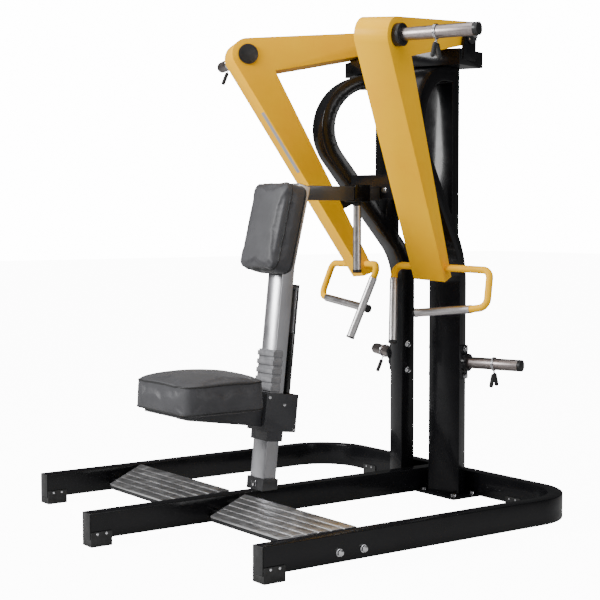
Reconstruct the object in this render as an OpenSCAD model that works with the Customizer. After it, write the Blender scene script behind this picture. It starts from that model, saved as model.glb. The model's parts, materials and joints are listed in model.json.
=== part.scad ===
// Plate-loaded rowing machine: two swinging arms, chest pad and a seat that slides up and down.
// Millimetres. Origin at the middle of the footprint on the floor, +Z up.
// The user sits at the front, at -Y, and looks towards +Y.

/* [Base frame] */
// Distance between the centre lines of the two outer rails
rail_span = 1640; // [1400:10:1900]
// Width of a rail tube
rail_w = 60; // [40:5:100]
// Height of a rail tube
rail_h = 100; // [60:5:140]
// Wall of the rail tubes
rail_wall = 3; // [2:0.5:8]
// How far the outer rails reach forward of the origin
rail_front = 690; // [500:10:900]
// How far the centre line of the rear cross rail lies behind the origin
rail_rear = 875; // [700:2:1000]
// Centre-line radius of the two rear corners
corner_r = 220; // [120:10:320]
// How far the middle rail reaches forward of the origin
middle_front = 912; // [700:1:1100]
// Height of the feet under the rails
foot_h = 30; // [15:1:60]
// Length of a foot
foot_len = 90; // [60:5:140]
// How far the two rear feet stand from the middle
rear_foot_x = 482; // [300:2:600]

/* [Uprights] */
// Angle by which the uprights and arms open towards the user
splay = 20; // [0:1:30]
// Sideways place of the front face of a leg at its foot
leg_x = 162; // [120:1:260]
// Rearward place of the front face of a leg at its foot
leg_y = 736; // [600:1:800]
// Width of the upright tube
leg_w = 150; // [100:5:200]
// Depth of the upright tube
leg_d = 60; // [40:5:100]
// Wall of the upright tube
leg_wall = 3; // [2:0.5:8]
// Height at which the leg starts to lean forward
bend_z = 953; // [700:1:1100]
// Forward lean of the slanted part
lean = 36.5; // [20:0.5:50]
// Centre-line radius of the lower bend
bend_r = 300; // [200:5:400]
// Length of the straight slanted part
slant_len = 457; // [300:1:600]
// Centre-line radius of the top bend
loop_r = 211; // [150:1:260]
// Distance of the rear tube's centre forward of the leg's front face
rear_tube_u = 45; // [35:1:80]
// Height of the pivot head on top of an upright
head_h = 66; // [40:1:100]

/* [Arms] */
// Sideways place of an arm's pivot
pivot_x = 280; // [220:1:340]
// Rearward place of an arm's pivot
pivot_y = 657; // [600:1:720]
// Height of an arm's pivot
pivot_z = 2004; // [1950:1:2100]
// Outward droop of the pivot axis
droop = 3.5; // [0:0.5:8]
// Width of an arm
arm_w = 150; // [100:5:200]
// Wall of an arm
arm_wall = 3; // [3:0.5:8]
// Distance of the weight horn forward of the pivot
horn_fwd = 568; // [450:1:650]
// Distance of the weight horn below the pivot
horn_drop = 66; // [0:1:150]
// Radius of the arm's rounded nose around the weight horn
nose_r = 70; // [50:1:90]
// Radius of the arm's rounded tail around the pivot
hub_r = 47; // [40:1:60]
// Diameter of the pivot shaft
shaft_d = 40; // [25:1:50]

/* [Weight horns] */
// Diameter of every weight horn
horn_d = 50; // [25:1:52]
// Length of an arm's weight horn
horn_len = 350; // [250:5:420]
// Length of a storage horn
store_len = 280; // [200:5:350]
// Height of the storage horns
store_z = 613; // [400:1:800]

/* [Handles] */
// Diameter of the painted handle tube
handle_d = 30; // [25:1:35]
// Diameter of a hand grip
grip_d = 35; // [28:1:40]

/* [Column and seat] */
// Width of the seat column
post_w = 100; // [80:5:140]
// Depth of the seat column
post_d = 60; // [40:5:100]
// Rearward lean of the seat column
post_lean = 6.4; // [0:0.1:12]
// Rearward lean of the chest pad
pad_lean = 13.7; // [5:0.1:20]
// Width of the chest pad
chest_w = 224; // [180:2:300]
// Height of the chest pad
chest_h = 350; // [250:5:450]
// Thickness of the chest pad
chest_t = 94; // [60:1:120]
// Width of the seat
seat_w = 396; // [300:2:450]
// Length of the seat
seat_l = 355; // [280:5:420]
// Thickness of the seat
seat_t = 150; // [80:1:170]
// Radius of the seat's corners
seat_r = 60; // [30:1:90]

/* [Foot plates] */
// Rearward place of a foot plate's back edge
tread_back = -232; // [-300:1:-150]
// Forward slope length of a foot plate
tread_l = 240; // [180:1:320]
// Downward slope of a foot plate towards the front
tread_slope = 9.1; // [0:0.1:20]
// Thickness of a foot plate
tread_t = 8; // [4:1:12]

/* [Node] */
// Sub-part to draw, or all of them

/* [Hidden] */
$fn = 96;
tiny = 0.01;
fit = 0.05;
pad_gap = 0.3;

rail_mid = foot_h + rail_h / 2;
rail_top = foot_h + rail_h;
rail_x = rail_span / 2;
cap_t = 4;
cheek_h = 28;
cheek_t = 4.5;
plate_t = 10;
plate_top = foot_h + plate_t;

bend_u = bend_r - leg_d / 2;
slant_u = bend_u - bend_r * cos(lean);
slant_z = bend_z + bend_r * sin(lean);
loop_start_u = slant_u + slant_len * sin(lean);
loop_start_z = slant_z + slant_len * cos(lean);
loop_u = loop_start_u - loop_r * cos(lean);
loop_z = loop_start_z + loop_r * sin(lean);
loop_top = loop_z + loop_r + leg_d / 2;
rear_face_u = rear_tube_u + leg_d / 2;

cheek_gap = 7;
cheek_w = 14;
cheek_in = arm_w / 2 + cheek_gap;
cheek_out = cheek_in + cheek_w;
flange_w = 18;

cheek_r = 46;
cheek_drop = 112;
base_w = 250;
base_l = 155;
bar_w = 30;
bar_z = 51;
bar_places = [-378, -270];
flange_bolt = 58;
cross_y = 485;
cross_z = 1315;
cross_h = 75;
beam_w = 60;
beam_z = 1308;
hang_y = 384;
hang_z = 1015;
hang_len = 271;
handle_r = 38;

nose = [-horn_fwd, -horn_drop];
hub = [0, 0];
elbow = [-447, -135];
heel = [-5, -1014];
toe = [-57.5, -1034];

chest_mid = [-101, 1207];
back_t = 6;
back_start = chest_t + back_t;

post_front = [-120.5, 304];
carriage_z = 371;
seat_z = 480;

black = [0.05, 0.05, 0.055];
yellow = [0.86, 0.72, 0.13];
silver = [0.80, 0.80, 0.80];
steel = [0.72, 0.73, 0.75];
dark = [0.16, 0.16, 0.17];
grey = [0.42, 0.42, 0.43];

// ---------- vector helpers ----------

function unit(v) = v / norm(v);

// Moves every side of a counter-clockwise outline inwards by t
function inset(pts, t) = [for (i = [0:len(pts) - 1])
    let (n = len(pts))
    let (a = unit(pts[i] - pts[(i + n - 1) % n]))
    let (b = unit(pts[(i + 1) % n] - pts[i]))
    let (p = [-a[1], a[0]])
    let (q = [-b[1], b[0]])
    pts[i] + t * (p + q) / (1 + p * q)];

// Point where a line from p touches the circle of radius r around c
function touch(p, c, r, side) =
    let (d = p - c)
    let (a = atan2(d[1], d[0]) + side * acos(r / norm(d)))
    c + r * [cos(a), sin(a)];

function touch_angle(p, c, r, side) =
    let (d = p - c)
    atan2(d[1], d[0]) + side * acos(r / norm(d));

// Points along an arc around c
function arc(c, r, from, to, steps) = [for (i = [0:steps])
    let (a = from + (to - from) * i / steps)
    c + r * [cos(a), sin(a)]];

// A path moved to its left by t, with mitred corners
function shift(path, t) = [for (i = [0:len(path) - 1])
    let (a = unit(path[max(i, 1)] - path[max(i, 1) - 1]))
    let (b = i == len(path) - 1 ? a : unit(path[i + 1] - path[i]))
    let (p = [-a[1], a[0]])
    let (q = [-b[1], b[0]])
    path[i] + t * (p + q) / (1 + p * q)];

function reversed(v) = [for (i = [len(v) - 1:-1:0]) v[i]];

// Outline of a strip that follows a path, t to each side
function band(path, t) = concat(shift(path, t), reversed(shift(path, -t)));

// Where the line through p along d meets the line through q along e
function meet(p, d, q, e) =
    let (w = q - p)
    p + d * (w[0] * e[1] - w[1] * e[0]) / (d[0] * e[1] - d[1] * e[0]);

// Angle of the normal shared by two circles on one side
function shared_normal(c1, r1, c2, r2, side) =
    let (d = c2 - c1)
    atan2(d[1], d[0]) + side * acos((r1 - r2) / norm(d));

// ---------- building blocks ----------

module both_sides() {
    children();
    mirror([1, 0, 0])
        children();
}

module left_side() {
    mirror([1, 0, 0])
        children();
}

module ring_section(thick, wide, wall) {
    difference() {
        square([thick, wide], center = true);
        square([thick - 2 * wall, wide - 2 * wall], center = true);
    }
}

// Hollow tube along +X; thick lies in the XY plane, wide along Z
module straight_tube(length, thick, wide, wall) {
    rotate([90, 0, 90])
        linear_extrude(height = length)
            ring_section(thick, wide, wall);
}

// Hollow tube bent about Z, starting on +X
module bent_tube(radius, turn, thick, wide, wall) {
    rotate_extrude(angle = turn)
        translate([radius, 0])
            ring_section(thick, wide, wall);
}

// Solid round rod from a to b
module rod(a, b, d) {
    v = b - a;
    translate(a)
        rotate([0, acos(v[2] / norm(v)), atan2(v[1], v[0])])
            cylinder(d = d, h = norm(v));
}

// Points of a bend of radius r at corner p, coming from a and leaving to b
function bend_points(a, p, b, r, steps) =
    let (u = unit(p - a))
    let (w = unit(b - p))
    let (turn = acos(u * w))
    let (centre = p + unit(w - u) * r / cos(turn / 2))
    let (x = unit(p - u * r * tan(turn / 2) - centre))
    [for (i = [0:steps]) centre + r * (cos(turn * i / steps) * x + sin(turn * i / steps) * u)];

function heading(pts, i) = unit(pts[min(i + 1, len(pts) - 1)] - pts[max(i - 1, 0)]);

// Directions across a path that don't twist along it
function across(pts, i = 0, last = [0, 0, 1]) =
    i == len(pts) ? [] :
    let (n = unit(last - heading(pts, i) * (last * heading(pts, i))))
    concat([n], across(pts, i + 1, n));

// Skin of a round tube through a list of points
module swept_tube(pts, d, sides) {
    last = len(pts) - 1;
    side = across(pts);
    rings = [for (i = [0:last])
        for (k = [0:sides - 1])
            let (a = 360 * k / sides)
            pts[i] + d / 2 * (cos(a) * side[i] + sin(a) * cross(heading(pts, i), side[i]))];
    walls = [for (i = [0:last - 1])
        for (k = [0:sides - 1])
            let (a = i * sides + k)
            let (b = i * sides + (k + 1) % sides)
            each [[a, a + sides, b + sides], [a, b + sides, b]]];
    start = [for (k = [0:sides - 1]) k];
    end = [for (k = [sides - 1:-1:0]) last * sides + k];
    polyhedron(points = rings, faces = concat([start], walls, [end]));
}

// Hexagon bolt head with washer, standing on z = 0
module bolt_head(size) {
    cylinder(d = size * 1.15, h = size * 0.1);
    cylinder(d = size, h = size * 0.45, $fn = 6);
}

module rounded_rect(w, l, r) {
    square([w, l - 2 * r], center = true);
    square([w - 2 * r, l], center = true);
    for (x = [-1, 1])
        for (y = [-1, 1])
            translate([x * (w / 2 - r), y * (l / 2 - r)])
                circle(r = r);
}

// ---------- local frames ----------

// Right upright: x across and outwards, -y forward, z up, origin at the leg's front face
module upright_frame() {
    translate([leg_x, leg_y, 0])
        rotate([0, 0, splay])
            children();
}

// Turns an XY drawing so that X points forward and Y up
module side_plane() {
    rotate([90, 0, -90])
        children();
}

// Turns an XY drawing so that X points backwards and Y up
module back_plane() {
    rotate([90, 0, 90])
        children();
}

// Right arm: x along the pivot axis and outwards, -y forward, z up
module arm_frame() {
    translate([pivot_x, pivot_y, pivot_z])
        rotate([0, droop, splay])
            children();
}

// Weight horn of the right arm: z along the horn from the arm's outer face
module arm_horn_frame() {
    arm_frame()
        translate([arm_w / 2, nose[0], nose[1]])
            rotate([0, 90 - droop, 0])
                children();
}

// Storage horn of the right upright: z along the horn from the upright's outer face
module store_horn_frame() {
    upright_frame()
        translate([leg_w / 2, leg_d / 2, store_z])
            rotate([0, 90, 0])
                children();
}

// Seat column: y from its front face backwards, z up along it
module post_frame() {
    translate([0, post_front[0], post_front[1]])
        rotate([-post_lean, 0, 0])
            children();
}

// Chest pad: y from its front face backwards, z up along it
module chest_frame() {
    translate([0, chest_mid[0], chest_mid[1]])
        rotate([-pad_lean, 0, 0])
            children();
}

// Foot plate: top face at z = 0, back edge at y = 0
module tread_frame() {
    translate([0, tread_back, rail_top])
        rotate([tread_slope, 0, 0])
            children();
}

// ---------- base frame ----------

module outer_frame() {
    color(black)
        translate([0, 0, rail_mid]) {
            both_sides() {
                translate([rail_x, -rail_front + cap_t])
                    rotate([0, 0, 90])
                        straight_tube(rail_front - cap_t + rail_rear - corner_r, rail_w, rail_h, rail_wall);
                translate([rail_x - corner_r, rail_rear - corner_r])
                    bent_tube(corner_r, 90, rail_w, rail_h, rail_wall);
            }
            translate([corner_r - rail_x, rail_rear])
                straight_tube(2 * (rail_x - corner_r), rail_w, rail_h, rail_wall);
        }
}

module middle_rail() {
    color(black)
        translate([0, -middle_front + cap_t, rail_mid])
            rotate([0, 0, 90])
                straight_tube(middle_front - cap_t + rail_rear - rail_w / 2, rail_w, rail_h, rail_wall);
}

// Cap with a plug that goes inside the tube
module end_cap() {
    inner = rail_w - 2 * rail_wall;
    translate([-rail_w / 2, 0, foot_h])
        cube([rail_w, cap_t, rail_h]);
    translate([-inner / 2, cap_t - tiny, foot_h + rail_wall])
        cube([inner, 15, rail_h - 2 * rail_wall]);
}

module end_caps() {
    color(dark) {
        both_sides()
            translate([rail_x, -rail_front])
                end_cap();
        translate([0, -middle_front])
            end_cap();
    }
}

// Foot under a rail that runs along Y, with cheeks that clasp the rail
module foot() {
    wide = rail_w + 2 * cheek_t;
    translate([-wide / 2, 0, 0])
        cube([wide, foot_len, foot_h]);
    for (x = [-wide / 2, rail_w / 2])
        translate([x, 0, foot_h - tiny])
            cube([cheek_t, foot_len, cheek_h + tiny]);
}

module at_feet() {
    both_sides() {
        translate([rail_x, -rail_front + 3])
            children();
        translate([rear_foot_x + foot_len / 2, rail_rear])
            rotate([0, 0, 90])
                children();
    }
    translate([0, -middle_front + 3])
        children();
}

module feet() {
    color(dark)
        at_feet()
            foot();
}

module foot_screws() {
    color(steel)
        at_feet()
            for (side = [0, 1])
                mirror([side, 0, 0])
                    for (y = [26, 64])
                        translate([rail_w / 2 + cheek_t, y, foot_h + 20])
                            rotate([0, 90, 0])
                                cylinder(d = 10, h = 3);
}

module rail_plugs() {
    color(dark)
        at_feet()
            translate([0, foot_len / 2, rail_top])
                cylinder(d = 26, h = 3);
}

module base_plates() {
    color(black)
        both_sides()
            translate([rail_w / 2, rail_rear - rail_w / 2 - base_l, foot_h])
                cube([base_w, base_l, plate_t]);
}

// Sizeable silver bolts of the frame: base plates, cross member, storage horns, foot plates, column
module frame_bolts() {
    color(steel) {
        both_sides() {
            for (p = [[58, 715], [58, 808], [252, 715], [248, 825]])
                translate([p[0], p[1], plate_top])
                    bolt_head(24);
            for (y = bar_places)
                translate([rail_x + rail_w / 2, y + bar_w / 2, bar_z + bar_w / 2])
                    rotate([0, 90, 0])
                        bolt_head(26);
            upright_frame()
                for (z = [store_z - flange_bolt, store_z + flange_bolt]) {
                    translate([leg_w / 2 + 10, leg_d / 2, z])
                        rotate([0, 90, 0])
                            bolt_head(24);
                    translate([-leg_w / 2, leg_d / 2, z])
                        rotate([0, -90, 0])
                            bolt_head(24);
                }
        }
        for (x = [-60, 60])
            translate([x, cross_y, cross_z + 37])
                rotate([90, 0, 0])
                    bolt_head(22);
        post_frame()
            translate([0, -8, -150])
                rotate([90, 0, 0])
                    bolt_head(26);
    }
}

// ---------- uprights ----------

// Centre line of the upright tube, forward and up, from the height low
function upright_path(low) = concat([[-leg_d / 2, low]],
    arc([bend_u, bend_z], bend_r, 180, 180 - lean, 12),
    arc([loop_u, loop_z], loop_r, -lean, 90, 42),
    [[rear_tube_u, loop_z + loop_r]]);

// Upright without its hollow, t inside its outer faces
module upright_body(t) {
    landing = slant_z + 28;
    linear_extrude(height = leg_w - 2 * t, center = true)
        polygon(band(upright_path(plate_top - t), leg_d / 2 - t));
    translate([rear_tube_u - leg_d / 2 + t, landing, t - leg_w / 2])
        cube([leg_d - 2 * t, loop_top - t - landing, leg_w - 2 * t]);
}

module upright() {
    color(black)
        upright_frame()
            side_plane()
                difference() {
                    upright_body(0);
                    upright_body(leg_wall);
                }
}

module upright_right() {
    upright();
}

module upright_left() {
    left_side()
        upright();
}

// Side plate that carries one end of a pivot shaft
module cheek(x) {
    translate([x, 0, 0])
        rotate([90, 0, 90])
            linear_extrude(height = cheek_w) {
                polygon([[-cheek_r - 8, -cheek_drop], [cheek_r + 8, -cheek_drop], [cheek_r, 0], [-cheek_r, 0]]);
                circle(r = cheek_r);
            }
}

module head() {
    outer = 165;
    front = 190;
    back = -20;
    skin = 5;
    color(black)
        difference() {
            union() {
                upright_frame()
                    difference() {
                        translate([-leg_w / 2, -front, loop_top])
                            cube([leg_w / 2 + outer, front - back, head_h]);
                        translate([-leg_w / 2 + skin, -front + skin, loop_top + skin])
                            cube([leg_w / 2 + outer - 2 * skin, front - back - 2 * skin, head_h - 2 * skin]);
                    }
                arm_frame() {
                    cheek(cheek_in);
                    cheek(-cheek_out);
                }
            }
            arm_frame()
                rotate([0, 90, 0])
                    cylinder(d = shaft_d, h = 2 * cheek_out + 2, center = true);
        }
}

module head_right() {
    head();
}

module head_left() {
    left_side()
        head();
}

module pivot_shafts() {
    color(steel)
        both_sides()
            arm_frame()
                rotate([0, 90, 0])
                    cylinder(d = shaft_d, h = 2 * (cheek_out + flange_w + 4), center = true);
}

module at_bearings() {
    both_sides()
        arm_frame()
            for (side = [0, 1])
                mirror([side, 0, 0])
                    translate([cheek_out, 0, 0])
                        rotate([0, 90, 0])
                            children();
}

module bearing_flanges() {
    color(dark)
        at_bearings()
            difference() {
                union() {
                    cylinder(d = 2 * cheek_r - 4, h = 8);
                    cylinder(d = 60, h = flange_w);
                }
                translate([0, 0, -1])
                    cylinder(d = shaft_d, h = flange_w + 2);
            }
}

module bearing_bolts() {
    color(steel)
        at_bearings()
            for (a = [45:90:315])
                rotate([0, 0, a])
                    translate([cheek_r - 9, 0, 8])
                        bolt_head(10);
}

module cross_member() {
    color(black)
        difference() {
            translate([-190, cross_y, cross_z]) {
                cube([380, 60, cross_h]);
                translate([0, 0, cross_h - tiny])
                    cube([380, 8, 30]);
            }
            both_sides()
                upright_frame()
                    translate([-leg_w / 2, -500, 1000])
                        cube([400, 600, 600]);
        }
}

module centre_beam() {
    color(dark)
        difference() {
            translate([-beam_w / 2, 60, beam_z])
                cube([beam_w, cross_y - 60, beam_w]);
            chest_frame()
                translate([-60, -100, -300])
                    cube([120, 100 + back_start + post_d, 700]);
            translate([-beam_w / 2 + 4, 40, beam_z + 4])
                cube([beam_w - 8, cross_y - 44, beam_w - 8]);
        }
}

module beam_sleeve() {
    color(black)
        translate([0, 344, beam_z + beam_w / 2])
            rotate([0, 0, 90])
                straight_tube(81, 72, 72, 6);
}

module centre_grip() {
    color(steel)
        translate([0, hang_y, hang_z])
            cylinder(d = grip_d, h = hang_len);
}

module centre_grip_caps() {
    color(dark)
        translate([0, hang_y, hang_z]) {
            translate([0, 0, hang_len])
                cylinder(d = 30, h = 16);
            translate([0, 0, -14])
                cylinder(d = grip_d + 3, h = 14);
        }
}

// Rubber stop between the slanted part and the arm
module bumpers() {
    size = 56;
    thick = 150;
    run = unit(heel - elbow);
    stop = elbow + run * 650;
    color(dark)
        both_sides()
            difference() {
                arm_frame()
                    translate([-size / 2, stop[0], stop[1]])
                        rotate([atan2(run[0], -run[1]), 0, 0])
                            translate([0, pad_gap, -size / 2])
                                cube([size, thick, size]);
                upright_frame()
                    side_plane()
                        translate([slant_u, slant_z])
                            rotate([0, 0, 90 - lean])
                                translate([-bend_r, -leg_d / 2 - fit, -200])
                                    cube([slant_len + bend_r, 400, 500]);
            }
}

// ---------- storage horns ----------

module storage_flanges() {
    color(black)
        both_sides()
            store_horn_frame() {
                translate([-72.5, -30, 0])
                    cube([145, 60, 10]);
                difference() {
                    translate([0, 0, 10 - tiny])
                        cylinder(d = 76, h = 22);
                    translate([0, 0, 10])
                        cylinder(d = horn_d, h = 30);
                }
            }
}

module storage_horns() {
    color(steel)
        both_sides()
            store_horn_frame()
                translate([0, 0, 10])
                    cylinder(d = horn_d, h = store_len - 25);
}

module storage_caps() {
    color(dark)
        both_sides()
            store_horn_frame()
                translate([0, 0, store_len - 15])
                    cylinder(d = horn_d, h = 15);
}

// ---------- column, beam and pads ----------

// Centre line of the column, backwards and up; over lengthens its foot, under shortens its top
function post_path(over, under) =
    let (d = [sin(post_lean), cos(post_lean)])
    let (e = [sin(pad_lean), cos(pad_lean)])
    let (p = post_front + post_d / 2 * [d[1], -d[0]])
    let (q = chest_mid + (back_start + post_d / 2) * [e[1], -e[0]])
    [p - d * (190 + over), meet(p, d, q, e), q + e * (200 - under)];

module post() {
    wall = 4;
    color(silver)
        difference() {
            back_plane()
                linear_extrude(height = post_w, center = true)
                    polygon(band(post_path(0, 0), post_d / 2));
            back_plane()
                linear_extrude(height = post_w - 2 * wall, center = true)
                    polygon(band(post_path(5, wall), post_d / 2 - wall));
            translate([-200, -400, rail_top - 200])
                cube([400, 600, 200]);
        }
}

module post_foot() {
    wide = 8;
    color(dark)
        difference() {
            post_frame()
                translate([-post_w / 2 - wide, -wide, -190])
                    cube([post_w + 2 * wide, post_d + 2 * wide, 65]);
            post_frame()
                translate([-post_w / 2, 0, -200])
                    cube([post_w, post_d, 100]);
            translate([-200, -400, rail_top - 200])
                cube([400, 600, 200]);
        }
}

module guide_plate() {
    color(grey)
        post_frame()
            difference() {
                translate([1, post_d, 202])
                    cube([12, 60, 470]);
                translate([0, post_d + 33, 654])
                    rotate([0, 90, 0])
                        cylinder(d = 14, h = 30);
            }
}

module strut_rod() {
    color(steel)
        post_frame() {
            translate([27.5, post_d + 33, 310])
                cylinder(d = 8, h = 350);
            translate([1, post_d + 33, 654])
                rotate([0, 90, 0])
                    cylinder(d = 14, h = 34);
        }
}

module back_plate() {
    color(dark)
        chest_frame()
            translate([0, chest_t, 0])
                rotate([-90, 0, 0])
                    linear_extrude(height = back_t)
                        rounded_rect(150, 300, 12);
}

module chest_pad() {
    color(dark)
        chest_frame()
            rotate([-90, 0, 0])
                linear_extrude(height = chest_t)
                    rounded_rect(chest_w, chest_h, 34);
}

// ---------- foot plates ----------

function tread_shape() = [[175, -tread_l], [631, -tread_l], [782, 0], [57, 0]];

// Welded rim under the edge of a foot plate
module foot_rims() {
    depth = 16;
    color(black)
        both_sides()
            tread_frame()
                translate([0, 0, -tread_t - depth])
                    linear_extrude(height = depth)
                        difference() {
                            polygon(tread_shape());
                            polygon(inset(tread_shape(), 5));
                        }
}

// Square tubes from the middle rail to an outer rail
module foot_bars() {
    length = rail_x - rail_w;
    color(black)
        both_sides()
            for (y = bar_places)
                translate([rail_w / 2, y + bar_w / 2, bar_z + bar_w / 2])
                    straight_tube(length, bar_w, bar_w, 3);
}

// Short legs that hold a foot plate above its two tubes
module foot_legs() {
    color(black)
        both_sides()
            difference() {
                for (x = [150, 400, 650])
                    for (y = bar_places)
                        translate([x, y, bar_z + bar_w])
                            cube([8, bar_w, 60]);
                tread_frame()
                    translate([0, -400, -tread_t])
                        cube([900, 600, 200]);
            }
}

module foot_treads() {
    groove = 6;
    color(silver)
        both_sides()
            tread_frame()
                difference() {
                    translate([0, 0, -tread_t])
                        linear_extrude(height = tread_t)
                            polygon(tread_shape());
                    for (i = [1:5])
                        translate([0, -i * tread_l / 6 - groove / 2, -3])
                            cube([900, groove, 10]);
                }
}

// ---------- arms ----------

// Side view of an arm, t inside its outer faces
function arm_outline(t) =
    let (top = shared_normal(nose, nose_r, hub, hub_r, 1))
    inset(concat(arc(nose, nose_r, top, 360 + touch_angle(toe, nose, nose_r, -1), 36),
        [toe, heel, elbow],
        arc(hub, hub_r, touch_angle(elbow, hub, hub_r, 1), top, 48)), t);

module arm_face(t) {
    polygon(arm_outline(t));
}

module arm_box() {
    color(yellow)
        arm_frame()
            rotate([90, 0, 90])
                difference() {
                    union() {
                        difference() {
                            linear_extrude(height = arm_w, center = true)
                                arm_face(0);
                            linear_extrude(height = arm_w - 2 * arm_wall, center = true)
                                arm_face(arm_wall);
                        }
                        cylinder(d = shaft_d + 20, h = 2 * cheek_in - 0.4, center = true);
                    }
                    cylinder(d = shaft_d + 2 * fit, h = arm_w * 2, center = true);
                }
}

module arm_right() {
    arm_box();
}

module arm_left() {
    left_side()
        arm_box();
}

// Keeps only what lies outside the arm's outer face
module outside_arm() {
    difference() {
        children();
        arm_frame()
            translate([-500 + arm_w / 2, nose[0] - 100, nose[1] - 100])
                cube([500, 200, 200]);
    }
}

module arm_horn() {
    color(steel)
        outside_arm()
            arm_horn_frame()
                translate([0, 0, -10])
                    cylinder(d = horn_d, h = horn_len - 10);
}

module arm_horn_right() {
    arm_horn();
}

module arm_horn_left() {
    left_side()
        arm_horn();
}

// Black plastic pieces of an arm: horn collar, horn cap, round cap on the inner face, grip caps
module arm_caps() {
    color(dark) {
        outside_arm()
            arm_horn_frame()
                difference() {
                    translate([0, 0, -10])
                        cylinder(d = 88, h = 38);
                    translate([0, 0, -20])
                        cylinder(d = horn_d, h = 60);
                }
        arm_horn_frame()
            translate([0, 0, horn_len - 20])
                cylinder(d = horn_d, h = 20);
        arm_frame() {
            translate([-arm_w / 2 - 8, nose[0], nose[1]])
                rotate([0, 90, 0])
                    cylinder(d = 87, h = 8);
            for (g = grip_ends()) {
                dir = unit(g[1] - g[0]);
                rod(g[1], g[1] + 8 * dir, grip_d + 3);
            }
        }
    }
}

module arm_caps_right() {
    arm_caps();
}

module arm_caps_left() {
    left_side()
        arm_caps();
}

// Start and end of the upright grip and of the level grip, in the arm's frame
function grip_ends() = [[[-178, -47, -1042], [-116, -136, -1297]], [[242, -132, -1127], [-61, -39, -1178]]];

function handle_path() = [grip_ends()[0][0], [-192, -27, -985], [293, -85, -966], [313, -135, -1112],
    grip_ends()[1][0]];

function handle_points() =
    let (h = handle_path())
    let (lead = [for (g = grip_ends()) g[0] - 8 * unit(g[1] - g[0])])
    concat([h[0], lead[0]], [for (i = [1:3]) each bend_points(h[i - 1], h[i], h[i + 1], handle_r, 4)],
        [lead[1], h[4]]);

module handle() {
    color(yellow)
        arm_frame()
            difference() {
                swept_tube(handle_points(), handle_d, 16);
                translate([-arm_w / 2, -300, -1050])
                    cube([arm_w, 400, 150]);
            }
}

module handle_right() {
    handle();
}

module handle_left() {
    left_side()
        handle();
}

module grips() {
    color(steel)
        arm_frame()
            for (g = grip_ends())
                rod(g[0], g[1], grip_d);
}

module grips_right() {
    grips();
}

module grips_left() {
    left_side()
        grips();
}

// Plain strip on the front face of an arm
module label() {
    start = touch(toe, nose, nose_r, -1);
    run = toe - start;
    color(grey)
        arm_frame()
            translate([0, start[0], start[1]])
                rotate([atan2(run[0], -run[1]) , 0, 0])
                    translate([-62, -1, -553])
                        cube([45, 1, 305]);
}

module label_left() {
    left_side()
        label();
}

// ---------- seat carriage ----------

module carriage() {
    low = (carriage_z - post_front[1]) / cos(post_lean);
    high = low + 156;
    color(grey)
        post_frame()
            difference() {
                union() {
                    translate([-62, -29, low])
                        cube([124, 158, high - low]);
                    translate([-59, -9, low - 39])
                        cube([118, 78, 40]);
                }
                translate([-56, -23, low + 6])
                    cube([112, 146, high]);
                translate([-post_w / 2 - fit, -fit, low - 50])
                    cube([post_w + 2 * fit, post_d + 2 * fit, 300]);
                translate([-2, post_d - 1, low - 50])
                    cube([18, 64, 60]);
            }
}

module carriage_bolts() {
    low = (carriage_z - post_front[1]) / cos(post_lean);
    color(steel)
        post_frame()
            for (side = [0, 1])
                mirror([side, 0, 0])
                    for (p = [[119, 10], [60, 112], [-15, 140]])
                        translate([62, p[0], low + p[1]])
                            rotate([0, 90, 0])
                                cylinder(d = 14, h = 4);
}

// Tapered bracket from the carriage forward under the seat
module seat_bracket() {
    front = -490;
    top = seat_z - 8;
    face = -29;
    shape = [[front, 445], [-60, 380], [-60, top], [front, top]];
    color(grey)
        difference() {
            rotate([90, 0, 90])
                linear_extrude(height = 80, center = true)
                    polygon(shape);
            rotate([90, 0, 90])
                linear_extrude(height = 70, center = true)
                    polygon(inset(shape, 5));
            post_frame()
                translate([-100, face, -100])
                    cube([200, 200, 600]);
        }
}

module seat_plate() {
    color(dark)
        translate([0, (-585 - 230) / 2, seat_z - 8])
            linear_extrude(height = 8)
                rounded_rect(300, seat_l - 12, 20);
}

module seat_pad() {
    color(dark)
        translate([0, -230 - seat_l / 2, seat_z])
            linear_extrude(height = seat_t)
                rounded_rect(seat_w, seat_l, seat_r);
}

// Ribbed cover around the front of the column above the carriage
module boot() {
    low = (carriage_z - post_front[1]) / cos(post_lean) + 156;
    color(grey)
        post_frame()
            difference() {
                union() {
                    translate([-56, -7, low])
                        cube([112, 42, 175]);
                    for (i = [0:4])
                        translate([-58, -13, low + 8 + i * 35])
                            cube([116, 48, 20]);
                }
                translate([-post_w / 2 - pad_gap, -pad_gap, low - 1])
                    cube([post_w + 2 * pad_gap, 60, 200]);
            }
}

module strut_cylinder() {
    low = (carriage_z - post_front[1]) / cos(post_lean);
    color(dark)
        post_frame()
            difference() {
                translate([27.5, post_d + 33, low + 6])
                    cylinder(d = 24, h = 400);
                translate([27.5, post_d + 33, low + 16])
                    cylinder(d = 8 + 2 * fit, h = 400);
            }
}

// ---------- spring clips ----------

// Wire ring around a horn with two legs that carry the grips; z along the horn
module clip_ring() {
    difference() {
        union() {
            cylinder(d = horn_d + 12, h = 12, center = true);
            for (a = [-22, 22])
                rotate([0, 0, a])
                    translate([29, 0, a / 22 * 3])
                        rotate([0, 90, 0])
                            cylinder(d = 5, h = 16);
        }
        cylinder(d = horn_d + 2 * fit, h = 40, center = true);
    }
}

module clip_grips() {
    for (a = [-22, 22])
        rotate([0, 0, a])
            translate([45, 0, a / 22 * 3])
                rotate([0, 90, 0])
                    cylinder(d = 20, h = 70);
}

module at_arm_clip() {
    arm_horn_frame()
        translate([0, 0, 170])
            children();
}

module at_store_clip() {
    store_horn_frame()
        translate([0, 0, 150])
            children();
}

module clip_arm_right() {
    color(steel)
        at_arm_clip()
            clip_ring();
}

module clip_grips_arm_right() {
    color(dark)
        at_arm_clip()
            clip_grips();
}

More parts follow.
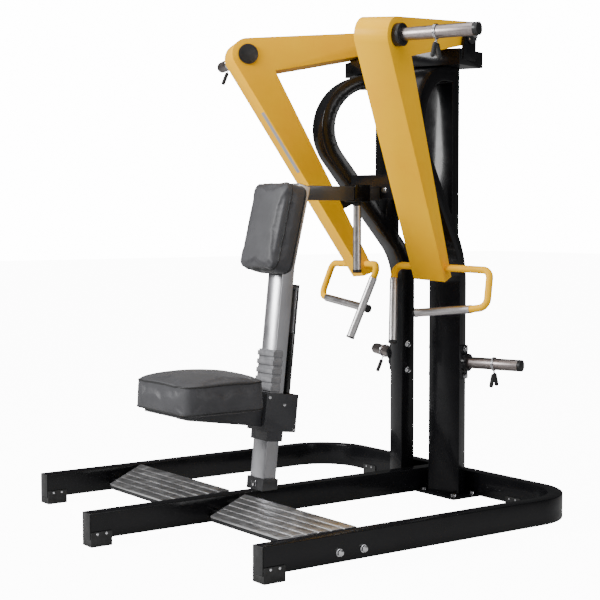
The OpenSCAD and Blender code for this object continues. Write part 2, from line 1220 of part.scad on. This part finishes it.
module clip_arm_left() {
    left_side()
        clip_arm_right();
}

module clip_grips_arm_left() {
    left_side()
        clip_grips_arm_right();
}

module clip_store_right() {
    color(steel)
        at_store_clip()
            clip_ring();
}

module clip_grips_store_right() {
    color(dark)
        at_store_clip()
            clip_grips();
}

module clip_store_left() {
    left_side()
        clip_store_right();
}

module clip_grips_store_left() {
    left_side()
        clip_grips_store_right();
}

// ---------- drawing ----------

outer_frame();
middle_rail();
end_caps();
feet();
foot_screws();
rail_plugs();
base_plates();
frame_bolts();
upright_right();
upright_left();
head_right();
head_left();
pivot_shafts();
bearing_flanges();
bearing_bolts();
cross_member();
centre_beam();
beam_sleeve();
centre_grip();
centre_grip_caps();
bumpers();
post();
post_foot();
guide_plate();
strut_rod();
back_plate();
chest_pad();
storage_flanges();
storage_horns();
storage_caps();
foot_rims();
foot_bars();
foot_legs();
foot_treads();
arm_right();
arm_horn_right();
arm_caps_right();
handle_right();
grips_right();
arm_left();
arm_horn_left();
arm_caps_left();
handle_left();
grips_left();
label_left();
carriage();
carriage_bolts();
seat_bracket();
seat_plate();
seat_pad();
boot();
strut_cylinder();
clip_arm_right();
clip_grips_arm_right();
clip_arm_left();
clip_grips_arm_left();
clip_store_right();
clip_grips_store_right();
clip_store_left();
clip_grips_store_left();
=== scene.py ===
"""Plate-loaded rowing machine: upholstery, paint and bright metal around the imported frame."""
import json
import math

import bmesh
import bpy
import numpy as np
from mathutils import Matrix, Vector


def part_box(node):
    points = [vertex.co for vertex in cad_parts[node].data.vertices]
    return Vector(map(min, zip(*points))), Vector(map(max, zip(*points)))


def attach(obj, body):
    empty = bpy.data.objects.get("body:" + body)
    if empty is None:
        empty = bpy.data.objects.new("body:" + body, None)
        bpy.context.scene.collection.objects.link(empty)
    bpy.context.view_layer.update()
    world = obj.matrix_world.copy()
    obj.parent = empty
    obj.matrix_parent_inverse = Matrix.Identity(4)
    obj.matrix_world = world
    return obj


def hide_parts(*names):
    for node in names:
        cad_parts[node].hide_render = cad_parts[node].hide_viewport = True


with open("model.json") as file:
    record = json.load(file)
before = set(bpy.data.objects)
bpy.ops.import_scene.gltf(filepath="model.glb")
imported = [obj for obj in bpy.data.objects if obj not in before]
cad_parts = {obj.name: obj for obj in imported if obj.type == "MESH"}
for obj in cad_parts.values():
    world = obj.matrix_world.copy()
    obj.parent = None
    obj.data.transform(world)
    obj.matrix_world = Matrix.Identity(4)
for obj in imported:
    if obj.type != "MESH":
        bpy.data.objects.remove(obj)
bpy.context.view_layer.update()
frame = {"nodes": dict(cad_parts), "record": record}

# Angles and places of the machine, in metres and degrees
SPLAY = 20.0
DROOP = 3.5
PAD_LEAN = 13.7
PIVOT = np.array([0.280, 0.657, 2.004])
HORN_ROOT = np.array([0.075, -0.568, -0.066])
HORN_R = 0.025
LEG_FOOT = np.array([0.162, 0.736, 0.0])
STORE_ROOT = np.array([0.075, 0.030, 0.613])
ARM_CLIP_AT = 0.170
STORE_CLIP_AT = 0.150
CHEST_MID = np.array([0.0, -0.101, 1.207])

# Brightness of the room on dull surfaces, in reflections, and of the white backdrop itself
ROOM_LIGHT = 0.42
ROOM_SHINE = 0.05
WHITE_WALL = 15.0

HANDLE_PATH = np.array([[-0.178, -0.047, -1.042], [-0.192, -0.027, -0.985], [0.293, -0.085, -0.966],
                        [0.313, -0.135, -1.112], [0.242, -0.132, -1.127]])
HANDLE_BEND = 0.038
HANDLE_R = 0.015
CLIP_WIRE_R = 0.0025
CLIP_SPREAD = 22.0
CLIP_WIDTH = 0.0105
CLIP_GRIP_LEN = 0.060
CLIP_GRIP_R = 0.0088
WELT_R = 0.0035


# ---------------------------------------------------------------- camera, floor and light

def set_camera():
    """Camera at the machine's front right, a little above the seat."""
    data = bpy.data.cameras.new("camera")
    data.angle = math.radians(23.90)
    data.clip_end = 60
    camera = bpy.data.objects.new("camera", data)
    camera.location = (4.742, -3.358, 1.254)
    camera.rotation_euler = (math.radians(86.5), 0, math.radians(54.03))
    bpy.context.scene.collection.objects.link(camera)
    bpy.context.scene.camera = camera


def softbox(name, place, target, width, height, power):
    """A rectangular light at place that faces target."""
    data = bpy.data.lights.new(name, "AREA")
    data.shape = "RECTANGLE"
    data.size = width
    data.size_y = height
    data.energy = power
    lamp = bpy.data.objects.new(name, data)
    lamp.location = place
    aim = np.array(target) - np.array(place)
    yaw = math.atan2(-aim[0], aim[1])
    tilt = math.acos(-aim[2] / np.linalg.norm(aim))
    lamp.rotation_euler = (tilt, 0, yaw)
    bpy.context.scene.collection.objects.link(lamp)


def set_light():
    """White room with a broad key from the front left, a fill from the right and a top panel."""
    world = bpy.data.worlds.new("room")
    world.use_nodes = True
    nodes = world.node_tree.nodes
    back = nodes["Background"]
    seen = nodes.new("ShaderNodeLightPath")
    soft = nodes.new("ShaderNodeMapRange")
    soft.inputs["To Min"].default_value = ROOM_LIGHT
    soft.inputs["To Max"].default_value = ROOM_SHINE
    world.node_tree.links.new(seen.outputs["Is Glossy Ray"], soft.inputs["Value"])
    level = nodes.new("ShaderNodeMapRange")
    level.inputs["To Max"].default_value = WHITE_WALL
    world.node_tree.links.new(soft.outputs["Result"], level.inputs["To Min"])
    world.node_tree.links.new(seen.outputs["Is Camera Ray"], level.inputs["Value"])
    world.node_tree.links.new(level.outputs["Result"], back.inputs["Strength"])
    back.inputs["Color"].default_value = (1.0, 1.0, 1.0, 1.0)
    bpy.context.scene.world = world
    softbox("key_panel", (-1.6, -5.2, 3.4), (0, 0, 1.1), 3.0, 2.4, 560)
    softbox("fill_panel", (5.6, 0.8, 2.6), (0, 0, 1.0), 2.4, 2.4, 90)
    softbox("top_panel", (0.4, -0.6, 5.2), (0, 0, 0.6), 4.0, 4.0, 120)


def set_floor():
    """Plain pale floor."""
    size = 30.0
    grid = np.array([[-1, -1, 0], [1, -1, 0], [1, 1, 0], [-1, 1, 0]]) * size
    mesh = bpy.data.meshes.new("floor")
    mesh.from_pydata(grid.tolist(), [], [(0, 1, 2, 3)])
    floor = bpy.data.objects.new("floor", mesh)
    bpy.context.scene.collection.objects.link(floor)
    mat = bpy.data.materials.new("pale_floor")
    mat.use_nodes = True
    shader = mat.node_tree.nodes["Principled BSDF"]
    shader.inputs["Base Color"].default_value = (0.45, 0.45, 0.45, 1)
    shader.inputs["Roughness"].default_value = 0.8
    shader.inputs["Emission Color"].default_value = (1, 1, 1, 1)
    seen = mat.node_tree.nodes.new("ShaderNodeLightPath")
    level = mat.node_tree.nodes.new("ShaderNodeMapRange")
    level.inputs["To Min"].default_value = 0.0
    level.inputs["To Max"].default_value = WHITE_WALL * 0.8
    mat.node_tree.links.new(seen.outputs["Is Camera Ray"], level.inputs["Value"])
    mat.node_tree.links.new(level.outputs["Result"], shader.inputs["Emission Strength"])
    mesh.materials.append(mat)


# ---------------------------------------------------------------- finishes

class Finish:
    """A node material that is built up from object coordinates."""

    def __init__(self, name):
        self.mat = bpy.data.materials.new(name)
        self.mat.use_nodes = True
        self.tree = self.mat.node_tree
        self.shader = self.tree.nodes["Principled BSDF"]
        self.place = self.tree.nodes.new("ShaderNodeTexCoord").outputs["Object"]

    def link(self, a, b):
        self.tree.links.new(a, b)

    def set(self, **values):
        for key, value in values.items():
            self.shader.inputs[key.replace("_", " ")].default_value = value

    def stretched(self, scale, turn=(0, 0, 0)):
        """Object coordinates scaled along each axis, so that grain runs one way."""
        node = self.tree.nodes.new("ShaderNodeMapping")
        node.inputs["Scale"].default_value = scale
        node.inputs["Rotation"].default_value = turn
        self.link(self.place, node.inputs["Vector"])
        return node.outputs["Vector"]

    def noise(self, scale, detail=3.0, rough=0.5, where=None):
        node = self.tree.nodes.new("ShaderNodeTexNoise")
        node.inputs["Scale"].default_value = scale
        node.inputs["Detail"].default_value = detail
        node.inputs["Roughness"].default_value = rough
        self.link(where or self.place, node.inputs["Vector"])
        return node.outputs["Fac"]

    def cells(self, scale, where=None):
        node = self.tree.nodes.new("ShaderNodeTexVoronoi")
        node.feature = "DISTANCE_TO_EDGE"
        node.inputs["Scale"].default_value = scale
        self.link(where or self.place, node.inputs["Vector"])
        return node.outputs["Distance"]

    def ramp(self, value, low, high, dark, light):
        """Colours from dark to light as value goes from low to high."""
        node = self.tree.nodes.new("ShaderNodeValToRGB")
        node.color_ramp.elements[0].position = low
        node.color_ramp.elements[0].color = (*dark, 1)
        node.color_ramp.elements[1].position = high
        node.color_ramp.elements[1].color = (*light, 1)
        self.link(value, node.inputs["Fac"])
        return node.outputs["Color"]

    def span(self, value, low, high, to_low, to_high):
        """A number between to_low and to_high as value goes from low to high."""
        node = self.tree.nodes.new("ShaderNodeMapRange")
        node.inputs["From Min"].default_value = low
        node.inputs["From Max"].default_value = high
        node.inputs["To Min"].default_value = to_low
        node.inputs["To Max"].default_value = to_high
        self.link(value, node.inputs["Value"])
        return node.outputs["Result"]

    def colour(self, socket):
        self.link(socket, self.shader.inputs["Base Color"])

    def roughness(self, socket):
        self.link(socket, self.shader.inputs["Roughness"])

    def bump(self, height, strength, depth, under=None):
        node = self.tree.nodes.new("ShaderNodeBump")
        node.inputs["Strength"].default_value = strength
        node.inputs["Distance"].default_value = depth
        self.link(height, node.inputs["Height"])
        if under is not None:
            self.link(under, node.inputs["Normal"])
        self.link(node.outputs["Normal"], self.shader.inputs["Normal"])
        return node.outputs["Normal"]


def paint(name, dark, light, smooth, dull, coat, shine=0.5):
    """Sprayed enamel: broad tone drift, dusty scuffs in the gloss and a fine orange peel."""
    f = Finish(name)
    f.set(Metallic=0.0, Coat_Weight=coat, Coat_Roughness=0.06, IOR=1.5, Specular_IOR_Level=shine)
    f.colour(f.ramp(f.noise(3.0, 4.0, 0.55), 0.35, 0.68, dark, light))
    f.roughness(f.span(f.noise(14.0, 6.0, 0.62), 0.38, 0.66, smooth, dull))
    peel = f.bump(f.noise(420.0, 2.0), 0.05, 0.0006)
    f.bump(f.noise(36.0, 3.0), 0.03, 0.002, peel)
    return f.mat


def flake_paint(name, dark, light):
    """Metallic paint: small bright flakes under a clear coat."""
    f = Finish(name)
    f.set(Metallic=0.9, Coat_Weight=0.1, Coat_Roughness=0.15, IOR=1.5)
    f.colour(f.ramp(f.noise(900.0, 2.0, 0.7), 0.30, 0.72, dark, light))
    f.roughness(f.span(f.noise(11.0, 5.0, 0.6), 0.35, 0.70, 0.30, 0.42))
    f.bump(f.noise(380.0, 2.0), 0.05, 0.0005)
    return f.mat


def brushed(name, dark, light, smooth, dull, scale, depth=0.0004):
    """Ground metal: fine scratches drawn out along the grain."""
    f = Finish(name)
    f.set(Metallic=1.0)
    grain = f.noise(1.0, 5.0, 0.65, f.stretched(scale))
    f.colour(f.ramp(grain, 0.30, 0.70, dark, light))
    f.roughness(f.span(f.noise(22.0, 4.0, 0.6), 0.35, 0.70, smooth, dull))
    f.bump(grain, 0.18, depth)
    return f.mat


def moulded(name, dark, light, smooth, dull, grain, depth):
    """Moulded plastic or rubber: speckled tone over a fine grain."""
    f = Finish(name)
    f.set(IOR=1.48)
    f.colour(f.ramp(f.noise(40.0, 5.0, 0.6), 0.35, 0.70, dark, light))
    f.roughness(f.span(f.noise(60.0, 3.0), 0.35, 0.65, smooth, dull))
    f.bump(f.noise(grain, 3.0, 0.6), 0.25, depth)
    return f.mat


def leather(name, dark, light):
    """Upholstery leather: small pebbles between creases, with soft wrinkles."""
    f = Finish(name)
    f.set(Sheen_Weight=0.12, Sheen_Roughness=0.4, IOR=1.5)
    f.colour(f.ramp(f.noise(9.0, 6.0, 0.6), 0.32, 0.70, dark, light))
    pebble = f.cells(620.0)
    f.roughness(f.span(pebble, 0.0, 0.4, 0.56, 0.42))
    fine = f.bump(f.span(pebble, 0.0, 0.25, 0.0, 1.0), 0.22, 0.0006)
    f.bump(f.noise(26.0, 4.0, 0.6), 0.16, 0.004, fine)
    return f.mat


def make_finishes():
    """Every finish of the machine by its name in the record."""
    return {
        "gloss_black": paint("gloss_black", (0.004, 0.004, 0.005), (0.008, 0.008, 0.009), 0.16, 0.28,
                             0.12, 0.22),
        "beam_grey": paint("beam_grey", (0.028, 0.028, 0.030), (0.044, 0.044, 0.047), 0.30, 0.42, 0.2),
        "silver_paint": flake_paint("silver_paint", (0.40, 0.40, 0.42), (0.56, 0.56, 0.58)),
        "carriage_grey": paint("carriage_grey", (0.030, 0.030, 0.034), (0.046, 0.046, 0.052), 0.34, 0.48,
                               0.15),
        "boot_grey": moulded("boot_grey", (0.16, 0.16, 0.17), (0.23, 0.23, 0.24), 0.40, 0.55, 380.0, 0.0006),
        "yellow_paint": paint("yellow_paint", (0.96, 0.47, 0.0), (1.0, 0.54, 0.0), 0.28, 0.42, 0.0, 0.08),
        "satin_steel": brushed("satin_steel", (0.62, 0.60, 0.60), (0.82, 0.80, 0.80), 0.30, 0.42,
                               (160, 160, 160)),
        "horn_steel": brushed("horn_steel", (0.30, 0.26, 0.25), (0.44, 0.39, 0.38), 0.32, 0.48,
                              (120, 120, 120)),
        "bright_steel": brushed("bright_steel", (0.70, 0.70, 0.72), (0.86, 0.86, 0.88), 0.12, 0.24,
                                (260, 260, 260), 0.0002),
        "cast_black": moulded("cast_black", (0.012, 0.012, 0.013), (0.030, 0.030, 0.032), 0.38, 0.55,
                              260.0, 0.0012),
        "black_plastic": moulded("black_plastic", (0.010, 0.010, 0.010), (0.020, 0.020, 0.021), 0.34, 0.48,
                                 520.0, 0.0005),
        "black_rubber": moulded("black_rubber", (0.012, 0.012, 0.012), (0.026, 0.026, 0.026), 0.55, 0.72,
                                450.0, 0.0007),
        "tread_aluminium": brushed("tread_aluminium", (0.62, 0.62, 0.63), (0.84, 0.84, 0.85), 0.30, 0.46,
                                   (5, 420, 420)),
        "label_grey": moulded("label_grey", (0.30, 0.30, 0.31), (0.36, 0.36, 0.37), 0.36, 0.46, 300.0,
                              0.0002),
        "strut_black": paint("strut_black", (0.008, 0.008, 0.008), (0.014, 0.014, 0.015), 0.18, 0.30, 0.5),
        "pad_leather": leather("pad_leather", (0.034, 0.034, 0.038), (0.052, 0.052, 0.057)),
        # Piping cord: the cord is real, and its colour, darker than the leather, is painted shade for the
        # seam groove along the pad's rounded edge.
        "piping": moulded("piping", (0.010, 0.010, 0.011), (0.018, 0.018, 0.019), 0.45, 0.60, 300.0, 0.0006),
    }


# ---------------------------------------------------------------- shapes

def turn_about(axis, degrees):
    """Rotation matrix about x, y or z."""
    c, s = math.cos(math.radians(degrees)), math.sin(math.radians(degrees))
    return {"x": np.array([[1, 0, 0], [0, c, -s], [0, s, c]]),
            "y": np.array([[c, 0, s], [0, 1, 0], [-s, 0, c]]),
            "z": np.array([[c, -s, 0], [s, c, 0], [0, 0, 1]])}[axis]


ARM_TURN = turn_about("z", SPLAY) @ turn_about("y", DROOP)
LEG_TURN = turn_about("z", SPLAY)
MIRROR = np.array([-1.0, 1.0, 1.0])


def unit(v):
    return v / np.linalg.norm(v, axis=-1, keepdims=True)


def grid_mesh(name, rows, closed_along, finish, body):
    """A mesh from a grid of points, rows x around x 3, joined around and, if closed, along.
    Open ends are closed by a face. Faces point outwards."""
    n, m = rows.shape[:2]
    index = np.arange(n * m).reshape(n, m)
    last = n if closed_along else n - 1
    a = index[:last]
    b = np.roll(index, -1, axis=0)[:last]
    quads = np.stack([a, np.roll(a, -1, 1), np.roll(b, -1, 1), b], axis=-1).reshape(-1, 4).tolist()
    if not closed_along:
        quads += [index[0][::-1].tolist(), index[-1].tolist()]
    mesh = bpy.data.meshes.new(name)
    mesh.from_pydata(rows.reshape(-1, 3).tolist(), [], quads)
    return finish_piece(name, mesh, finish, body)


def finish_piece(name, mesh, finish, body):
    """Makes an object of a mesh, turns its faces outwards, and gives it its finish and its body."""
    work = bmesh.new()
    work.from_mesh(mesh)
    bmesh.ops.recalc_face_normals(work, faces=work.faces)
    work.to_mesh(mesh)
    work.free()
    mesh.materials.clear()
    mesh.materials.append(FINISHES[finish])
    mesh.shade_smooth()
    piece = bpy.data.objects.new(name, mesh)
    bpy.context.scene.collection.objects.link(piece)
    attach(piece, body)
    return piece


def sweep(path, radius, sides, across, closed=False):
    """A round tube along a path: each ring is centre + r (cos a * u + sin a * w), where w is square to
    the path and to the direction across, and u completes the frame."""
    ahead = np.roll(path, -1, axis=0) - np.roll(path, 1, axis=0)
    if not closed:
        ahead[0] = path[1] - path[0]
        ahead[-1] = path[-1] - path[-2]
    ahead = unit(ahead)
    w = unit(np.cross(ahead, across))
    u = np.cross(w, ahead)
    a = np.linspace(0, 2 * math.pi, sides, endpoint=False)[None, :, None]
    r = np.broadcast_to(np.asarray(radius, float), (len(path),))[:, None, None]
    return path[:, None, :] + r * (np.cos(a) * u[:, None, :] + np.sin(a) * w[:, None, :])


def rounded_path(points, bend, steps=14):
    """A path through points whose inner corners are arcs of radius bend, tangent to both sides."""
    out = [points[:1]]
    for i in range(1, len(points) - 1):
        u = unit(points[i] - points[i - 1])
        w = unit(points[i + 1] - points[i])
        turn = math.acos(float(np.clip(u @ w, -1, 1)))
        centre = points[i] + unit(w - u) * bend / math.cos(turn / 2)
        x = unit(points[i] - u * bend * math.tan(turn / 2) - centre)
        t = np.linspace(0, turn, steps)[:, None]
        out.append(centre + bend * (np.cos(t) * x + np.sin(t) * u))
    out.append(points[-1:])
    return np.concatenate(out)


def lathe(profile, root, axis, around, sides=40):
    """A turned shape: profile rows are (distance along the axis, radius), and the surface is
    root + distance * axis + radius * (cos a * u + sin a * w), with u and w square to the axis."""
    axis = unit(np.asarray(axis, float))
    u = unit(np.cross(around, axis))
    w = np.cross(axis, u)
    a = np.linspace(0, 2 * math.pi, sides, endpoint=False)[None, :, None]
    profile = np.asarray(profile, float)
    centre = root + profile[:, :1] * axis
    return centre[:, None, :] + profile[:, 1, None, None] * (np.cos(a) * u + np.sin(a) * w)


def both(side_points, side):
    """Points of the right side, mirrored if side is left."""
    return side_points if side == "right" else side_points * MIRROR


def arm_points(local):
    return PIVOT + local @ ARM_TURN.T


def leg_points(local):
    return LEG_FOOT + local @ LEG_TURN.T


# ---------------------------------------------------------------- arms

def make_handle(side):
    """Painted handle tube: straight runs joined by smooth bends, ending at the two grips."""
    path = rounded_path(HANDLE_PATH, HANDLE_BEND)
    run = path[-1] - path[-2]
    path = np.concatenate([path, path[-1:] + unit(run) * 0.004])
    across = np.array([0.10, 1.0, 0.25])
    rows = both(arm_points(sweep(path, HANDLE_R, 32, unit(across))), side)
    piece = grid_mesh("handle_tube_" + side, rows, False, "yellow_paint", "arm_" + side)
    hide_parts("handle_" + side)


def make_clip(name, centre, axis, body, side):
    """Spring clip: a turned wire round the horn and two ribbed rubber grips that hang from it. The wire is
    centre + along * axis + ring * (cos t * up + sin t * across), with along growing evenly with t, and a
    grip's radius is a constant plus a cosine along its length, drawn in at both ends."""
    up = np.array([0.0, 0.0, 1.0])
    across = np.cross(axis, up)
    spread = math.radians(CLIP_SPREAD)
    ring = HORN_R + CLIP_WIRE_R + 0.0004
    t = np.linspace(math.pi + spread, 3 * math.pi - spread + 2 * math.pi, 150)[:, None]
    along = (np.linspace(0, 1, 150)[:, None] - 0.5) * CLIP_WIDTH
    loop = centre + axis * along + ring * (np.cos(t) * up + np.sin(t) * across)
    ends = [unit(loop[i] - centre - axis * along[i]) for i in (0, -1)]
    start = loop[:1] + ends[0] * np.array([[0.024], [0.012]])
    stop = loop[-1:] + ends[1] * np.array([[0.012], [0.024]])
    path = both(np.concatenate([start, loop, stop]), side)
    axis_here = both(axis, side)
    rows = sweep(path, CLIP_WIRE_R, 14, axis_here)
    coil = grid_mesh(name + "_coil", rows, False, "bright_steel", body)
    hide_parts(name)
    s = np.linspace(0, 1, 60)
    ribs = CLIP_GRIP_R + 0.0007 * np.cos(s * 2 * math.pi * 9)
    ribs *= np.clip(np.sqrt(np.clip(1 - (np.abs(s - 0.5) * 2) ** 14, 0, 1)), 0.25, 1)
    profile = np.stack([s * CLIP_GRIP_LEN, ribs], axis=1)
    for i, out in enumerate(ends):
        root = loop[0 if i == 0 else -1] + out * 0.016
        rows = both(lathe(profile, root, out, axis), side)
        grip_name = "%s_grip_%d" % (name, i + 1)
        grid_mesh(grip_name, rows, False, "black_rubber", body)
    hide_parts(name.replace("clip_", "clip_grips_"))


def make_clips():
    """All four spring clips, two on the arms' horns and two on the storage horns."""
    for side in ("right", "left"):
        out = np.array([math.cos(math.radians(SPLAY)), math.sin(math.radians(SPLAY)), 0])
        on_arm = arm_points(HORN_ROOT) + out * ARM_CLIP_AT
        on_store = leg_points(STORE_ROOT) + out * STORE_CLIP_AT
        make_clip("clip_arm_" + side, on_arm, out, "clip_arm_" + side, side)
        make_clip("clip_store_" + side, on_store, out, "clip_store_" + side, side)


# ---------------------------------------------------------------- upholstery

def points_of(mesh):
    co = np.empty(len(mesh.vertices) * 3)
    mesh.vertices.foreach_get("co", co)
    return co.reshape(-1, 3)


def settle(piece):
    """Replaces a piece's mesh with what its modifiers make of it."""
    graph = bpy.context.evaluated_depsgraph_get()
    mesh = bpy.data.meshes.new_from_object(piece.evaluated_get(graph))
    old = piece.data
    piece.modifiers.clear()
    piece.data = mesh
    bpy.data.meshes.remove(old)


def cushion(name, node, turn, centre, squeeze, cap, crown, back):
    """A stuffed pad: the CAD block drawn in by squeeze along each of its own axes, rounded, crowned by a
    paraboloid on its free face, and blown up as cloth with its back held flat. turn takes the pad's own
    axes to the machine's, and back names the axis and side of the face that rests on a board."""
    work = bmesh.new()
    work.from_mesh(frame["nodes"][node].data)
    bmesh.ops.remove_doubles(work, verts=work.verts, dist=1e-5)
    mesh = bpy.data.meshes.new(name)
    work.to_mesh(mesh)
    work.free()
    piece = bpy.data.objects.new(name, mesh)
    bpy.context.scene.collection.objects.link(piece)
    local = (points_of(mesh) - centre) @ turn
    half = np.abs(local).max(axis=0)
    local *= 1 - squeeze / half
    mesh.vertices.foreach_set("co", (local @ turn.T + centre).ravel())
    remesh = piece.modifiers.new("skin", "REMESH")
    remesh.mode = "VOXEL"
    remesh.voxel_size = 0.006
    settle(piece)
    smooth = piece.modifiers.new("round", "SMOOTH")
    smooth.factor = 0.5
    smooth.iterations = 11
    settle(piece)
    local = (points_of(piece.data) - centre) @ turn
    half = np.abs(local).max(axis=0)
    axis, sign = back
    others = [i for i in range(3) if i != axis]
    u = local[:, others] / half[others]
    free = np.clip(0.5 - 0.5 * sign * local[:, axis] / half[axis], 0, 1)
    fall = crown * (u ** 2).sum(axis=1) / 2
    local[:, axis] += sign * fall * free ** 2
    piece.data.vertices.foreach_set("co", (local @ turn.T + centre).ravel())
    blow_up(piece, local, half, back, cap)
    return piece


def blow_up(piece, local, half, back, cap):
    """Cloth under inner pressure, with the back face held; no point moves further than cap."""
    axis, sign = back
    held = np.flatnonzero(sign * local[:, axis] > half[axis] - 0.010)
    group = piece.vertex_groups.new(name="held")
    group.add(held.tolist(), 1.0, "REPLACE")
    rest = points_of(piece.data)
    cloth = piece.modifiers.new("cloth", "CLOTH")
    cloth.settings.vertex_group_mass = "held"
    cloth.settings.use_pressure = True
    cloth.settings.uniform_pressure_force = 6.0
    cloth.settings.tension_stiffness = 18
    cloth.settings.compression_stiffness = 30
    cloth.settings.bending_stiffness = 8.0
    cloth.settings.effector_weights.gravity = 0.0
    scene = bpy.context.scene
    for step in range(1, 21):
        scene.frame_set(step)
    graph = bpy.context.evaluated_depsgraph_get()
    moved = points_of(piece.evaluated_get(graph).data).copy()
    piece.modifiers.clear()
    scene.frame_set(1)
    shift = moved - rest
    far = np.linalg.norm(shift, axis=1, keepdims=True)
    shift *= np.minimum(1, cap / np.maximum(far, 1e-9))
    piece.data.vertices.foreach_set("co", (rest + shift).ravel())
    piece.vertex_groups.clear()


def pad_piece(piece, body, node):
    """Leather, smooth shading and one subdivision on a finished cushion."""
    mesh = piece.data
    mesh.materials.clear()
    mesh.materials.append(FINISHES["pad_leather"])
    mesh.shade_smooth()
    sub = piece.modifiers.new("smooth", "SUBSURF")
    sub.levels = 1
    sub.render_levels = 1
    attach(piece, body)
    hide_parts(node)


def outline(width, length, corner, steps=12):
    """Closed outline of a rectangle with round corners, in its own plane."""
    quarter = np.linspace(0, math.pi / 2, steps)
    turns = [(1, 1, 0), (-1, 1, 1), (-1, -1, 2), (1, -1, 3)]
    parts = []
    for sx, sy, k in turns:
        a = quarter + k * math.pi / 2
        parts.append(np.stack([sx * (width / 2 - corner) + corner * np.cos(a),
                               sy * (length / 2 - corner) + corner * np.sin(a)], axis=1))
    pts = np.concatenate(parts + [parts[0][:1]])
    gap = np.linalg.norm(np.diff(pts, axis=0), axis=1)
    s = np.concatenate([[0], np.cumsum(gap)])
    even = np.linspace(0, s[-1], 240, endpoint=False)
    return np.stack([np.interp(even, s, pts[:, 0]), np.interp(even, s, pts[:, 1])], axis=1)


def welt(name, cushion_piece, path, across, body):
    """Piping: a thin cord laid on the cushion's skin, on the skin's points nearest to a given line. Its
    finish, darker than the leather, also paints the shade of the seam groove.
    """
    skin = points_of(cushion_piece.data)
    near = ((path[:, None, :] - skin[None, :, :]) ** 2).sum(axis=2).argmin(axis=1)
    line = skin[near]
    for _ in range(6):
        line = (np.roll(line, 1, axis=0) + 2 * line + np.roll(line, -1, axis=0)) / 4
    rows = sweep(line, WELT_R, 10, across, closed=True)
    return grid_mesh(name, rows, True, "piping", body)


def make_pads():
    """Chest pad and seat, each with two lines of piping, whose dark finish also paints the shade along the
    seams.
    """
    lean = turn_about("x", -PAD_LEAN)
    low, high = (np.array(c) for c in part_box("chest_pad"))
    middle = (low + high) / 2
    grow = np.array([0.013, 0.008, 0.004])
    chest = cushion("chest_cushion", "chest_pad", lean, middle, -grow, 0.007, 0.008, (1, 1))
    pad_piece(chest, "frame", "chest_pad")
    ring = outline(0.246, 0.356, 0.040)
    for name, depth in (("chest_welt_front", 0.024), ("chest_welt_back", 0.088)):
        flat = np.stack([ring[:, 0], np.full(len(ring), depth), ring[:, 1]], axis=1)
        welt(name, chest, CHEST_MID + flat @ lean.T, lean @ np.array([0, 1.0, 0]), "frame")
    low, high = (np.array(c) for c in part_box("seat_pad"))
    middle = (low + high) / 2
    grow = np.array([0.013, 0.013, -0.003])
    seat = cushion("seat_cushion", "seat_pad", np.eye(3), middle, -grow, 0.006, 0.034, (2, -1))
    pad_piece(seat, "seat_carriage", "seat_pad")
    size = high - low
    ring = outline(size[0] + 0.022, size[1] + 0.022, 0.068)
    for name, height in (("seat_welt_top", size[2] - 0.034), ("seat_welt_base", 0.012)):
        flat = np.concatenate([ring, np.full((len(ring), 1), height)], axis=1)
        line = flat + np.array([middle[0], middle[1], low[2]])
        welt(name, seat, line, np.array([0, 0, 1.0]), "seat_carriage")


# ---------------------------------------------------------------- CAD nodes

ROUNDED = {
    "outer_frame": 0.006, "middle_rail": 0.006, "upright_right": 0.006, "upright_left": 0.006,
    "arm_right": 0.005, "arm_left": 0.005, "post": 0.006, "carriage": 0.002, "seat_bracket": 0.002,
    "head_right": 0.003, "head_left": 0.003, "centre_beam": 0.004, "beam_sleeve": 0.002,
    "cross_member": 0.003, "boot": 0.005, "feet": 0.003, "end_caps": 0.002, "bumpers": 0.004,
    "base_plates": 0.002, "seat_plate": 0.001, "back_plate": 0.001, "post_foot": 0.002,
    "storage_flanges": 0.0015, "guide_plate": 0.001, "foot_rims": 0.001, "foot_bars": 0.003,
    "foot_legs": 0.001, "foot_treads": 0.001,
    "storage_caps": 0.003, "arm_caps_right": 0.003, "arm_caps_left": 0.003, "centre_grip_caps": 0.002,
    "storage_horns": 0.001, "arm_horn_right": 0.001, "arm_horn_left": 0.001, "bearing_flanges": 0.0015,
    "frame_bolts": 0.001, "bearing_bolts": 0.0006, "carriage_bolts": 0.001, "foot_screws": 0.0008,
    "rail_plugs": 0.001, "pivot_shafts": 0.0015, "strut_cylinder": 0.001,
}


# Horns are rubbed dull by the plates
WORN = {"storage_horns": "horn_steel", "arm_horn_right": "horn_steel", "arm_horn_left": "horn_steel"}


def soften(node, width):
    """Rounds a CAD node's sharp edges for the eye with a weld and a small bevel."""
    piece = frame["nodes"][node]
    piece.data.shade_smooth()
    weld = piece.modifiers.new("weld", "WELD")
    weld.merge_threshold = 1e-5
    bevel = piece.modifiers.new("edge", "BEVEL")
    bevel.width = width
    bevel.segments = 3
    bevel.limit_method = "ANGLE"
    bevel.angle_limit = math.radians(32)
    bevel.harden_normals = True
    bevel.miter_outer = "MITER_ARC"


def dress_nodes():
    """Gives every CAD node the finish that the record names for it."""
    for part in frame["record"]["subparts"]:
        piece = frame["nodes"][part["node"]]
        finish = FINISHES[WORN.get(part["node"], part["material_slot"])]
        piece.data.materials.clear()
        piece.data.materials.append(finish)
        if part["node"] in ROUNDED:
            soften(part["node"], ROUNDED[part["node"]])
        else:
            piece.data.shade_flat()


FINISHES = make_finishes()
set_camera()
set_light()
set_floor()
dress_nodes()
for arm_side in ("right", "left"):
    make_handle(arm_side)
make_clips()
make_pads()
